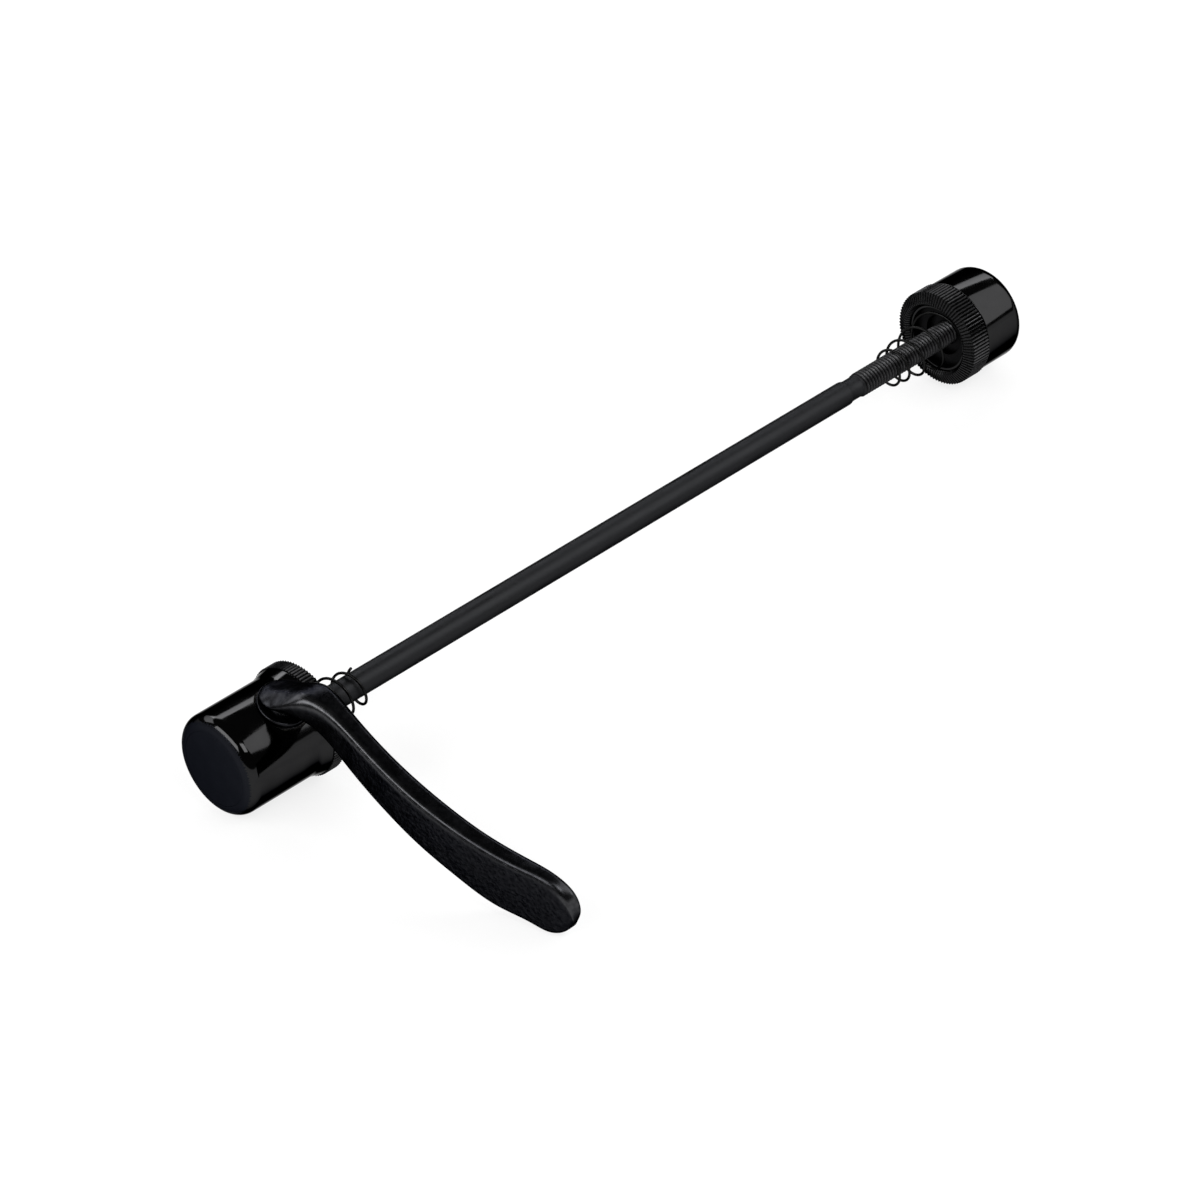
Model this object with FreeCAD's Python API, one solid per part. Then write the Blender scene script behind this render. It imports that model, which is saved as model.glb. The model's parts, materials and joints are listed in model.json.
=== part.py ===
# Quick release skewer for a bicycle wheel: an internal-cam lever head, a rod and an adjusting nut.
# Millimetres. The rod lies along X with the nut towards +X, and +Z is up. The origin is on the rod's
# axis in the lever side's clamp plane. The skewer lies on a table, on the lever head's ring and the
# lever's tip, so the head leans about the rod by the angle that brings the tip down to the table.
import FreeCAD, Part
import math
import os

# Rod
ROD_R = 2.5
CLAMP_GAP = 169.7        # between the two clamp planes
NECK_START = 143.2       # from the lever side's clamp plane
NECK_LENGTH = 3.2
NECK_R = 2.2
NECK_RAMP = 0.8
ROD_TIP_CHAMFER = 0.6
ROD_TIP_DEPTH = 2.5      # rod end below the nut's outer face
HEAD_THICKNESS = 4.6     # flattened eye, along the cam shaft
HEAD_WALL = 1.5          # metal around the eye's slot
HEAD_CORNER = 3.4

# Cam housing
HOUSING_R = 10.07
HOUSING_LENGTH = 22.8    # outer face to clamp plane
HOUSING_EDGE = 2.4
FLARE_LENGTH = 2.6
FLARE_SETBACK = 0.25     # flared foot inside the grip ring
CHAMBER_R = 6.4
CHAMBER_WALL = 1.1       # between the chamber and the spring's recess
END_CAP_R = 7.5
END_CAP_THICKNESS = 1.6
END_CAP_PLUG = 1.4
END_CAP_EDGE = 0.25
PAD_R = 5.25             # round seat that the lever's bush sits on
PAD_TOP = 8.4            # from the rod's axis
CLIP_RECESS_FLOOR = 8.6  # from the rod's axis, on the far side
CLIP_RECESS_R = 3.7

# Cam shaft, bushes and clip
SHAFT_X = -9.0
CAM_THROW = 1.0          # eccentricity, half of the clamping travel
CAM_R = 2.6
CAM_EYE_GAP = 0.4        # cam to slot, wider than a true cam needs
CAM_END_GAP = 0.5        # cam beyond each face of the eye
JOURNAL_R = 3.65
FAR_JOURNAL_R = 1.5
RUNNING_GAP = 0.05
BUSH_WALL = 0.8
FLANGE_R = 5.1
FLANGE_THICKNESS = 0.5
WASHER_R = 4.95
WASHER_THICKNESS = 0.3
AXIAL_GAP = 0.05
SPIGOT_R = 2.9
SPIGOT_LENGTH = 2.8
CLIP_THICKNESS = 0.5
CLIP_R = 3.2
CLIP_GROOVE_R = 1.25
CLIP_MOUTH = 2.0
CLIP_LIP = 0.45          # shaft left beyond the clip

# Lever, with heights from the boss's underside
BOSS_R = 4.9             # collar at the boss's foot
BOSS_COLLAR = 1.1
BOSS_FOOT = 0.55         # boss's lower edge, inside the collar
ARM_CHAMFER = 1.0
TIP_CENTRE = 61.2        # along the arm, from the shaft
TIP_LENGTH = 6.2         # rounded end beyond that
TIP_SHIFT = 6.1
TIP_SWEEP = 0.22         # shift per length along the rounded end
TIP_HALF_THICKNESS = 1.75
TIP_LOW = 3.8
TIP_HIGH = 17.1
# Along the arm from the shaft, shift towards the nut, half thickness, lower and upper edge, chamfer
# across and up
STATIONS = (
    (-4.6, 0.0, 1.2, BOSS_FOOT, 1.5, 0.5, 0.4),
    (-3.8, 0.0, 2.7, BOSS_FOOT, 2.3, 1.2, 0.8),
    (-2.1, 0.1, 4.0, BOSS_FOOT, 3.5, 1.8, 1.3),
    (0.0, 0.3, 4.4, BOSS_FOOT, 5.4, 2.0, 1.8),
    (3.5, 1.0, 4.1, 2.3, 8.7, 1.6, 1.6),
    (7.0, 1.5, 3.15, 2.9, 10.1, 1.4, 1.4),
    (11.0, 1.6, 2.5, 2.9, 10.4, 1.2, 1.2),
    (17.0, 1.3, 2.2, 2.5, 10.7, ARM_CHAMFER, ARM_CHAMFER),
    (28.0, 0.85, 2.25, 2.5, 11.9, ARM_CHAMFER, ARM_CHAMFER),
    (38.0, 1.5, 2.25, 2.2, 13.0, ARM_CHAMFER, ARM_CHAMFER),
    (46.0, 2.9, 2.15, 1.8, 13.8, ARM_CHAMFER, ARM_CHAMFER),
    (54.5, 4.75, 2.05, 2.0, 15.6, ARM_CHAMFER, ARM_CHAMFER),
)

# Grip rings
LEVER_RING_R = 11.0
LEVER_RING_RIM = 2.7
LEVER_RING_BORE = 7.6
NUT_RING_PROUD = 0.3     # beyond the nut
NUT_RING_RIM = 4.4
NUT_RING_BORE = 7.1
SERRATION_BAND = 1.9
BEVEL_DEPTH = 0.8
BORE_CHAMFER = 0.6
KNURL_PITCH = 0.74
KNURL_DEPTH = 0.32
SPIGOT_SETBACK = 0.9     # seat's end behind the clamp plane

# Springs
WIRE_R = 0.28
SPRING_BIG_R = 6.0       # middle of the wire
SPRING_SMALL_R = 3.4
SPRING_TAPER = 1.6       # above 1, the cone narrows quickly at first
SPRING_SAG = 0.55        # small end below the rod's axis
SPRING_TURNS = 4.1
LEVER_SPRING_REACH = 13.6   # small end, from the clamp plane
LEVER_SPRING_CLOSING = 1.0  # above 1, the coils lie closer at the small end
NUT_SPRING_REACH = 14.3
NUT_SPRING_CLOSING = 1.4
RECESS_R = 6.55
LEVER_RECESS = 1.8
NUT_RECESS = 2.6
SEAT_GAP = 0.05

# Nut
NUT_LENGTH = 16.2        # clamp plane to outer face
NUT_R = 9.8
NUT_EDGE = 2.5
GROOVE_WIDTH = 0.4
GROOVE_DEPTH = 0.6
STEP_R = 4.3             # second step inside the spring's recess
STEP_DEPTH = 1.3
THREAD_LENGTH = 7.2
INSERT_R = 4.0
INSERT_LENGTH = 2.6
INSERT_LIP = 1.2
INSERT_MOUTH_R = 3.4

ROUND_CHORDS = 3         # straight pieces in each rounded corner
WIRE_SIDES = 6
SPRING_STEPS = 14        # straight runs in each turn of a spring
BIG = 60.0               # longer than any cut
ALONG = FreeCAD.Vector(1, 0, 0)
UP = FreeCAD.Vector(0, 0, 1)
ORIGIN = FreeCAD.Vector(0, 0, 0)

# Heights along the cam shaft from the rod's axis, radii, and places along the rod
FLANGE_TOP = PAD_TOP + FLANGE_THICKNESS
WASHER_BOTTOM = FLANGE_TOP + AXIAL_GAP
BOSS_BOTTOM = WASHER_BOTTOM + WASHER_THICKNESS + AXIAL_GAP
CLIP_TOP = -CLIP_RECESS_FLOOR - AXIAL_GAP
CLIP_BOTTOM = CLIP_TOP - CLIP_THICKNESS
CAM_HALF_LENGTH = HEAD_THICKNESS / 2 + CAM_END_GAP
BUSH_OUTER_R = JOURNAL_R + RUNNING_GAP + BUSH_WALL
FAR_BUSH_OUTER_R = FAR_JOURNAL_R + RUNNING_GAP + BUSH_WALL
CHAMBER_END = -LEVER_RECESS - CHAMBER_WALL
FLARE_R = LEVER_RING_R - FLARE_SETBACK
LEVER_RING_BACK = -BEVEL_DEPTH - LEVER_RING_RIM
NUT_RING_R = NUT_R + NUT_RING_PROUD
NUT_RING_BACK = CLAMP_GAP + BEVEL_DEPTH + NUT_RING_RIM
NUT_FACE = CLAMP_GAP + NUT_LENGTH
ROD_TIP = NUT_FACE - ROD_TIP_DEPTH


def lever_section(distance, shift, half_thickness, low, high, chamfer_x, chamfer_z):
    """Corners of the lever's eight-sided section, across its arm at a distance from the shaft."""
    left = SHAFT_X + shift - half_thickness
    right = SHAFT_X + shift + half_thickness
    bottom = BOSS_BOTTOM + low
    top = BOSS_BOTTOM + high
    corners = [
        (left + chamfer_x, bottom),
        (right - chamfer_x, bottom),
        (right, bottom + chamfer_z),
        (right, top - chamfer_z),
        (right - chamfer_x, top),
        (left + chamfer_x, top),
        (left, top - chamfer_z),
        (left, bottom + chamfer_z),
    ]
    return [FreeCAD.Vector(x, -distance, z) for x, z in corners]


def lever_sections():
    """The lever's sections in order, from the back of its boss to its rounded tip."""
    sections = [lever_section(*station) for station in STATIONS]
    middle = (TIP_LOW + TIP_HIGH) / 2
    for share in (0.0, 0.5, 0.8, 0.97):
        width = math.sqrt(1 - share * share)
        half_width = width * (TIP_HIGH - TIP_LOW) / 2
        half_thickness = TIP_HALF_THICKNESS * math.sqrt(width)
        chamfer = ARM_CHAMFER * width
        beyond = TIP_LENGTH * share
        sections.append(lever_section(
            TIP_CENTRE + beyond, TIP_SHIFT + TIP_SWEEP * beyond, half_thickness,
            middle - half_width, middle + half_width,
            chamfer * half_thickness / TIP_HALF_THICKNESS, chamfer,
        ))
    return sections


def lean_angle():
    """Degrees about the rod that bring the lever's lowest corner level with its ring, on the table."""
    corners = [corner for section in lever_sections() for corner in section]
    low, high = 0.0, math.pi / 4
    for _ in range(40):
        middle = (low + high) / 2
        lowest = min(corner.y * math.sin(middle) + corner.z * math.cos(middle) for corner in corners)
        if lowest > -LEVER_RING_R:
            low = middle
        else:
            high = middle
    return math.degrees(low)


LEAN = lean_angle()


def lean(shape):
    """The shape turned about the rod to the angle at which the lever rests."""
    return shape.rotate(ORIGIN, ALONG, LEAN)


def rounded_outline(corners):
    """Closed flat wire through (x, y) corners, each rounded in short chords by its third value, if any."""
    points = []
    for index, corner in enumerate(corners):
        here = FreeCAD.Vector(corner[0], corner[1], 0)
        if len(corner) < 3:
            points.append(here)
            continue
        before, after = corners[index - 1], corners[(index + 1) % len(corners)]
        back = (FreeCAD.Vector(before[0], before[1], 0) - here).normalize()
        ahead = (FreeCAD.Vector(after[0], after[1], 0) - here).normalize()
        half = back.getAngle(ahead) / 2
        radius = corner[2]
        inward = (back + ahead).normalize()
        centre = here + inward * (radius / math.sin(half))
        sideways = (ahead - back).normalize()
        sweep = math.pi / 2 - half
        for step in range(ROUND_CHORDS + 1):
            turn = sweep * (2 * step / ROUND_CHORDS - 1)
            across, depth = radius * math.sin(turn), radius * math.cos(turn)
            points.append(centre + sideways * across - inward * depth)
    return Part.makePolygon(points + points[:1])


def turned(corners):
    """Solid of revolution about X from (x, radius) corners."""
    return Part.Face(rounded_outline(corners)).revolve(ORIGIN, ALONG, 360)


def plate(corners, thickness):
    """Flat plate across the cam shaft, centred on the rod's axis, from (x, y) corners."""
    face = Part.Face(rounded_outline(corners))
    face.translate(UP * (-thickness / 2))
    return face.extrude(UP * thickness)


def pin(radius, bottom, top, shift=0.0):
    """Round pin along the cam shaft, between two heights."""
    return Part.makeCylinder(radius, top - bottom, FreeCAD.Vector(SHAFT_X + shift, 0, bottom), UP)


def bush(outer_r, inner_r, bottom, top):
    """Plain tube along the cam shaft, between two heights."""
    return pin(outer_r, bottom, top).cut(pin(inner_r, bottom, top))


def cam_housing():
    """Turned body with the cam chamber, the lever's pad, the cross bores and the spring's recess."""
    outer = -HOUSING_LENGTH
    cap_seat = outer + END_CAP_THICKNESS
    ramp_end = LEVER_RING_BACK
    body = turned([
        (outer, END_CAP_R),
        (outer, HOUSING_R, HOUSING_EDGE),
        (ramp_end - FLARE_LENGTH, HOUSING_R),
        (ramp_end, FLARE_R),
        (ramp_end, LEVER_RING_BORE),
        (-SPIGOT_SETBACK, LEVER_RING_BORE),
        (-SPIGOT_SETBACK, RECESS_R),
        (-LEVER_RECESS, RECESS_R),
        (-LEVER_RECESS, ROD_R + RUNNING_GAP),
        (CHAMBER_END, ROD_R + RUNNING_GAP),
        (CHAMBER_END, CHAMBER_R),
        (cap_seat, CHAMBER_R),
        (cap_seat, END_CAP_R),
    ])
    pad = pin(PAD_R, CHAMBER_R, PAD_TOP)
    bores = [
        pin(PAD_R, PAD_TOP, BIG),
        pin(BUSH_OUTER_R, 0, BIG),
        pin(FAR_BUSH_OUTER_R, -BIG, 0),
        pin(CLIP_RECESS_R, -BIG, -CLIP_RECESS_FLOOR),
    ]
    return lean(body.fuse(pad).cut(bores))


def housing_end_cap():
    """Disc pressed into the housing's outer end, with a plug that locates in the chamber."""
    outer = -HOUSING_LENGTH
    seat = outer + END_CAP_THICKNESS
    return turned([
        (outer, 0),
        (outer, END_CAP_R - END_CAP_EDGE),
        (outer + END_CAP_EDGE, END_CAP_R),
        (seat, END_CAP_R),
        (seat, CHAMBER_R),
        (seat + END_CAP_PLUG, CHAMBER_R),
        (seat + END_CAP_PLUG, 0),
    ])


def skewer_rod():
    """Round rod with a slotted, flattened eye for the cam and a necked, threaded far end."""
    eye_x = SHAFT_X - CAM_THROW
    slot_x = CAM_R + CAM_EYE_GAP
    slot_y = slot_x + CAM_THROW
    head_x = slot_x + HEAD_WALL
    head_y = slot_y + HEAD_WALL
    neck_end = NECK_START + NECK_LENGTH
    shank = turned([
        (eye_x + slot_x, 0),
        (eye_x + slot_x, ROD_R),
        (NECK_START, ROD_R),
        (NECK_START + NECK_RAMP, NECK_R),
        (neck_end, NECK_R),
        (neck_end + NECK_RAMP, ROD_R),
        (ROD_TIP - ROD_TIP_CHAMFER, ROD_R),
        (ROD_TIP, ROD_R - ROD_TIP_CHAMFER),
        (ROD_TIP, 0),
    ])
    head = plate([
        (eye_x - head_x, -head_y, HEAD_CORNER),
        (eye_x + head_x, -head_y, HEAD_CORNER),
        (eye_x + head_x, head_y, HEAD_CORNER),
        (eye_x - head_x, head_y, HEAD_CORNER),
    ], HEAD_THICKNESS)
    corner = CAM_R - CAM_EYE_GAP
    slot = plate([
        (eye_x - slot_x, -slot_y, corner),
        (eye_x + slot_x, -slot_y, corner),
        (eye_x + slot_x, slot_y, corner),
        (eye_x - slot_x, slot_y, corner),
    ], BIG)
    return lean(shank.fuse(head).cut(slot))


def cam_shaft():
    """Steel shaft with its eccentric at the rod's eye, a spigot for the lever and a clip groove."""
    tip = CLIP_BOTTOM - CLIP_LIP
    shaft = pin(FAR_JOURNAL_R, tip, -CAM_HALF_LENGTH).fuse([
        pin(CAM_R, -CAM_HALF_LENGTH, CAM_HALF_LENGTH, -CAM_THROW),
        pin(JOURNAL_R, CAM_HALF_LENGTH, BOSS_BOTTOM),
        pin(SPIGOT_R, BOSS_BOTTOM, BOSS_BOTTOM + SPIGOT_LENGTH),
    ])
    groove = bush(CLIP_R, CLIP_GROOVE_R, CLIP_BOTTOM, CLIP_TOP)
    return lean(shaft.cut(groove))


def shaft_clip():
    """Open retaining clip in the shaft's groove."""
    clip = bush(CLIP_R, CLIP_GROOVE_R, CLIP_BOTTOM, CLIP_TOP)
    corner = FreeCAD.Vector(SHAFT_X, -CLIP_MOUTH / 2, CLIP_BOTTOM)
    return lean(clip.cut(Part.makeBox(BIG, CLIP_MOUTH, CLIP_THICKNESS, corner)))


def lever_bush():
    """Flanged bush in the housing's pad, around the shaft's large journal."""
    tube = bush(BUSH_OUTER_R, JOURNAL_R + RUNNING_GAP, CHAMBER_R, FLANGE_TOP)
    flange = bush(FLANGE_R, JOURNAL_R + RUNNING_GAP, PAD_TOP, FLANGE_TOP)
    return lean(tube.fuse(flange).removeSplitter())


def far_bush():
    """Plain bush at the shaft's small journal, between the chamber and the clip's recess."""
    return lean(bush(FAR_BUSH_OUTER_R, FAR_JOURNAL_R + RUNNING_GAP, -CLIP_RECESS_FLOOR, -CHAMBER_R))


def thrust_washer():
    """Thin washer between the bush's flange and the lever's boss."""
    return lean(bush(WASHER_R, JOURNAL_R + RUNNING_GAP, WASHER_BOTTOM, WASHER_BOTTOM + WASHER_THICKNESS))


def cam_lever():
    """Lever: a domed boss over the shaft, drawn out into a curved arm that widens to a paddle."""
    sections = [Part.makePolygon(corners + corners[:1]) for corners in lever_sections()]
    arm = Part.makeLoft(sections, True, False)
    collar = pin(BOSS_R, BOSS_BOTTOM, BOSS_BOTTOM + BOSS_COLLAR)
    socket = pin(SPIGOT_R, BOSS_BOTTOM, BOSS_BOTTOM + SPIGOT_LENGTH)
    return lean(collar.fuse(arm).cut(socket))


def star(x, crest_r, valley_r, teeth):
    """Closed wire across the rod at x, zigzag between two radii."""
    points = []
    for half in range(2 * teeth + 1):
        turn = math.pi * half / teeth
        radius = valley_r if half % 2 else crest_r
        points.append(FreeCAD.Vector(x, radius * math.cos(turn), radius * math.sin(turn)))
    return Part.makePolygon(points)


def grip_ring(rim_r, rim_width, bore_r):
    """Steel ring facing +X at x = 0: a knurled rim, and a bevel of radial teeth up to a flat land."""
    teeth = round(2 * math.pi * rim_r / KNURL_PITCH)
    back = -BEVEL_DEPTH - rim_width
    crest_r = rim_r - SERRATION_BAND
    ring = Part.makeLoft([
        star(back, rim_r, rim_r - KNURL_DEPTH, teeth),
        star(-BEVEL_DEPTH, rim_r, rim_r - KNURL_DEPTH, teeth),
        star(0, crest_r, crest_r * (rim_r - KNURL_DEPTH) / rim_r, teeth),
    ], True, True)
    bore = turned([
        (back, 0),
        (back, bore_r),
        (-BORE_CHAMFER, bore_r),
        (0, bore_r + BORE_CHAMFER),
        (0, 0),
    ])
    return ring.cut(bore)


def lever_grip_ring():
    """Ring on the housing's spigot, facing the nut."""
    return grip_ring(LEVER_RING_R, LEVER_RING_RIM, LEVER_RING_BORE)


def nut_grip_ring():
    """Ring on the nut's spigot, facing the lever."""
    ring = grip_ring(NUT_RING_R, NUT_RING_RIM, NUT_RING_BORE).rotate(ORIGIN, UP, 180)
    ring.translate(ALONG * CLAMP_GAP)
    return ring


def cone_spring(seat, reach, closing):
    """Conical spring of round wire along +X, its large end on a seat plane and its small end at reach."""
    first = seat + WIRE_R
    last = reach - WIRE_R
    steps = round(SPRING_TURNS * SPRING_STEPS)
    centres = []
    for step in range(steps + 1):
        left = 1 - step / steps
        x = last - (last - first) * left ** closing
        radius = SPRING_SMALL_R + (SPRING_BIG_R - SPRING_SMALL_R) * left ** SPRING_TAPER
        angle = 2 * math.pi * SPRING_TURNS * (1 - left)
        y = radius * math.cos(angle)
        z = radius * math.sin(angle) - SPRING_SAG * (1 - left)
        centres.append(FreeCAD.Vector(x, y, z))
    sections = []
    for step, centre in enumerate(centres):
        course = (centres[min(step + 1, steps)] - centres[max(step - 1, 0)]).normalize()
        side = course.cross(FreeCAD.Vector(0, centre.y, centre.z)).normalize()
        outward = side.cross(course)
        points = []
        for corner in range(WIRE_SIDES + 1):
            turn = 2 * math.pi * corner / WIRE_SIDES
            points.append(centre + outward * (WIRE_R * math.cos(turn)) + side * (WIRE_R * math.sin(turn)))
        sections.append(Part.makePolygon(points))
    return Part.makeLoft(sections, True, True)


def lever_spring():
    """Spring between the lever head and the hub."""
    return cone_spring(SEAT_GAP - LEVER_RECESS, LEVER_SPRING_REACH, LEVER_SPRING_CLOSING)


def nut_spring():
    """Spring between the nut and the hub."""
    spring = cone_spring(SEAT_GAP - NUT_RECESS, NUT_SPRING_REACH, NUT_SPRING_CLOSING)
    spring = spring.rotate(ORIGIN, UP, 180)
    spring.translate(ALONG * CLAMP_GAP)
    return spring


def nut_body():
    """Round adjusting nut: its ring's seat, a stepped spring recess, the thread and the insert's seat."""
    recess = CLAMP_GAP + NUT_RECESS
    step = recess + STEP_DEPTH
    insert = step + THREAD_LENGTH
    groove_end = NUT_RING_BACK + GROOVE_WIDTH
    return turned([
        (CLAMP_GAP + SPIGOT_SETBACK, RECESS_R),
        (CLAMP_GAP + SPIGOT_SETBACK, NUT_RING_BORE),
        (NUT_RING_BACK, NUT_RING_BORE),
        (NUT_RING_BACK, NUT_R - GROOVE_DEPTH),
        (groove_end, NUT_R - GROOVE_DEPTH),
        (groove_end, NUT_R),
        (NUT_FACE, NUT_R, NUT_EDGE),
        (NUT_FACE, INSERT_MOUTH_R),
        (NUT_FACE - INSERT_LIP, INSERT_MOUTH_R),
        (NUT_FACE - INSERT_LIP, INSERT_R),
        (insert, INSERT_R),
        (insert, ROD_R + RUNNING_GAP),
        (step, ROD_R + RUNNING_GAP),
        (step, STEP_R),
        (recess, STEP_R),
        (recess, RECESS_R),
    ])


def nut_lock_insert():
    """Nylon ring that grips the thread, held behind the nut's lip."""
    end = NUT_FACE - INSERT_LIP
    return turned([
        (end - INSERT_LENGTH, ROD_R + RUNNING_GAP),
        (end - INSERT_LENGTH, INSERT_R),
        (end, INSERT_R),
        (end, ROD_R + RUNNING_GAP),
    ])


NODES = (
    cam_housing,
    housing_end_cap,
    lever_grip_ring,
    skewer_rod,
    cam_lever,
    cam_shaft,
    lever_bush,
    far_bush,
    thrust_washer,
    shaft_clip,
    lever_spring,
    nut_spring,
    nut_body,
    nut_grip_ring,
    nut_lock_insert,
)

os.makedirs("parts", exist_ok=True)
for node in NODES:
    shape = node()
    shape.exportStep("parts/" + node.__name__ + ".step")
    print(node.__name__, shape.ShapeType, len(shape.Solids), shape.isValid(), round(shape.Volume, 2))
print("lean", round(LEAN, 4))
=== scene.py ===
import json
import math

import bmesh
import bpy
import numpy as np
from mathutils import Matrix, Vector


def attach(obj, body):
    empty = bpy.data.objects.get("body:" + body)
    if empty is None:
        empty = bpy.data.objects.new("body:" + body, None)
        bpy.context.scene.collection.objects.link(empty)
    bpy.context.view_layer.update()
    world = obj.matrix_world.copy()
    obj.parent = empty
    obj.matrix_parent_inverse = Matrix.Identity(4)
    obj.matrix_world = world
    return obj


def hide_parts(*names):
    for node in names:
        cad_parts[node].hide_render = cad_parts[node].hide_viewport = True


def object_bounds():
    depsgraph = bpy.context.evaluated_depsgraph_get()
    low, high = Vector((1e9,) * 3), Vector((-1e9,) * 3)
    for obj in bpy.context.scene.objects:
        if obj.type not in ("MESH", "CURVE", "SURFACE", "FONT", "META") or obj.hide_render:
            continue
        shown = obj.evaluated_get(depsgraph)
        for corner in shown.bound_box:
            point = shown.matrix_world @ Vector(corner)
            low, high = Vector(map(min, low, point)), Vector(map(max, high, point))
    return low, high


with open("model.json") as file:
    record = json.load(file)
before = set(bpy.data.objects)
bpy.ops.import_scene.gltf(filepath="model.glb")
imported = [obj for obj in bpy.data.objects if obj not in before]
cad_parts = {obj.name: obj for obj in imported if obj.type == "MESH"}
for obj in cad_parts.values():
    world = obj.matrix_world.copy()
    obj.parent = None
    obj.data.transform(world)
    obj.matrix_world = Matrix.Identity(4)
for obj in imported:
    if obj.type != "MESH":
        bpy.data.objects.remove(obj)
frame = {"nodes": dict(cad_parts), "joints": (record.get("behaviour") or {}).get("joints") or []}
cad_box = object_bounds()

# Sizes in millimetres, as in the part's source. Textures and the stage are in metres.
MM = 0.001
ROD_R = 2.5
CLAMP_GAP = 169.7
NECK_START = 143.2
NECK_END = 146.4
NECK_R = 2.2
NECK_RAMP = 0.8
NECK_EDGE = (0.3, 0.04)  # length and depth of the broken edge before the neck
ROD_TIP = 183.4
ROD_TIP_CHAMFER = 0.6
THREAD_PITCH = 0.8
THREAD_DEPTH = 0.42
THREAD_SLOPE = 2.4       # steepness of the thread's flanks, with its crest and root left flat
THREAD_FLAT = 0.1
THREAD_ROWS = 10         # rings of points in one pitch
ROD_SIDES = 64
ROD_SHARP = 40
HEAD_THICKNESS = 4.6
EYE_X = -10.0
EYE_SLOT = (3.0, 4.0, 2.2)
EYE_HEAD = (4.5, 5.5, 3.4)

HOUSING_LENGTH = 22.8
HOUSING_R = 10.07
HOUSING_EDGE = 2.4
FLARE_START = -6.1
FLARE_R = 10.75
FLARE_ROUND = 4.0
RING_BACK = -3.5
CHAMBER_R = 6.4
CHAMBER_END = -2.9
END_CAP_R = 7.5
END_CAP_THICKNESS = 1.6
END_CAP_PLUG = 1.4
END_CAP_EDGE = 0.1
SATIN_REACH = 0.6        # from the outer end, how far the disc's finish goes over the housing's round
SPIGOT_R = 7.6
SPIGOT_SETBACK = 0.9
RECESS_R = 6.55
LEVER_RECESS = 1.8
SHAFT_X = -9.0
PAD_R = 5.25
PAD_TOP = 8.4
PAD_ROOT = 0.4           # outside the chamber, where the lever's seat starts
BUSH_OUTER_R = 4.5
FAR_BUSH_OUTER_R = 2.35
CLIP_RECESS_R = 3.7
CLIP_RECESS_FLOOR = 8.6
BORE_GAP = 0.05
CUT_REACH = 15           # past the housing, for tools that cut bores
LEVER_RING_TEETH = 93

BOSS_BOTTOM = 9.3
BOSS_R = 4.9
BOSS_COLLAR = 1.1
COLLAR_EDGE = 0.3
BOSS_FOOT = 0.55
ARM_CHAMFER = 1.0
TIP_CENTRE = 61.2
TIP_LENGTH = 6.2
TIP_SHIFT = 6.1
TIP_SWEEP = 0.22
TIP_HALF_THICKNESS = 1.75
TIP_LOW = 3.8
TIP_HIGH = 17.1
TIP_SHARES = (0.0, 0.5, 0.8, 0.97, 0.995)
# Lever's sections: distance from the shaft, shift, half thickness, low, high and chamfer in x and z
STATIONS = (
    (-4.75, 0.0, 0.6, BOSS_FOOT, 1.1, 0.25, 0.2),
    (-4.6, 0.0, 1.2, BOSS_FOOT, 1.5, 0.5, 0.4),
    (-3.8, 0.0, 2.7, BOSS_FOOT, 2.3, 1.2, 0.8),
    (-2.1, 0.1, 4.0, BOSS_FOOT, 3.5, 1.8, 1.3),
    (0.0, 0.3, 4.4, BOSS_FOOT, 5.4, 2.0, 1.8),
    (3.5, 1.0, 4.1, 2.3, 8.7, 1.6, 1.6),
    (7.0, 1.5, 3.15, 2.9, 10.1, 1.4, 1.4),
    (11.0, 1.6, 2.5, 2.9, 10.4, 1.2, 1.2),
    (17.0, 1.3, 2.2, 2.5, 10.7, ARM_CHAMFER, ARM_CHAMFER),
    (28.0, 0.85, 2.25, 2.5, 11.9, ARM_CHAMFER, ARM_CHAMFER),
    (38.0, 1.5, 2.25, 2.2, 13.0, ARM_CHAMFER, ARM_CHAMFER),
    (46.0, 2.9, 2.15, 1.8, 13.8, ARM_CHAMFER, ARM_CHAMFER),
    (54.5, 4.75, 2.05, 2.0, 15.6, ARM_CHAMFER, ARM_CHAMFER),
)

WIRE_R = 0.28
SPRING_BIG_R = 6.0
SPRING_SMALL_R = 3.4
SPRING_TAPER = 1.6
SPRING_SAG = 0.55
SPRING_TURNS = 4.1
SPRING_STEPS = 40        # in one turn
WIRE_SIDES = 12
WIRE_SHARP = 60
SEAT_GAP = 0.05
LEVER_SPRING_REACH = 13.6
NUT_SPRING_REACH = 14.3
NUT_SPRING_CLOSING = 1.4  # above 1, coils lie closer at the small end

NUT_FACE = 185.9
NUT_R = 9.8
NUT_EDGE = 2.5
NUT_RING_BACK = 174.9
NUT_SPIGOT_R = 7.1
GROOVE_R = 9.2
GROOVE_END = 175.3
NUT_RECESS_END = 172.3
NUT_STEP_END = 173.6
NUT_STEP_R = 4.3
INSERT_START = 180.8
INSERT_R = 4.0
INSERT_LIP = 1.2
INSERT_MOUTH_R = 3.4
NUT_RING_TEETH = 86

EDGE_BREAK = 0.15        # small round on edges that are sharp in the solids
MERGE = 0.002            # points closer than this become one after booleans
NEAR = 0.1               # margin for picking faces
SHARP = 32               # degrees, edges of turned pieces that stay sharp
ROUND_STEPS = 8
TURN_STEPS = 160

swing = next(joint for joint in frame["joints"] if joint["name"] == "lever_swing")
LEAN = Matrix.Rotation(math.atan2(swing["axis"][1], -swing["axis"][2]), 4, "X")
UPRIGHT = Matrix(((0, 1, 0, SHAFT_X), (0, 0, 1, 0), (1, 0, 0, 0), (0, 0, 0, 1)))


# Shells: (points, faces) in millimetres

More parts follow.
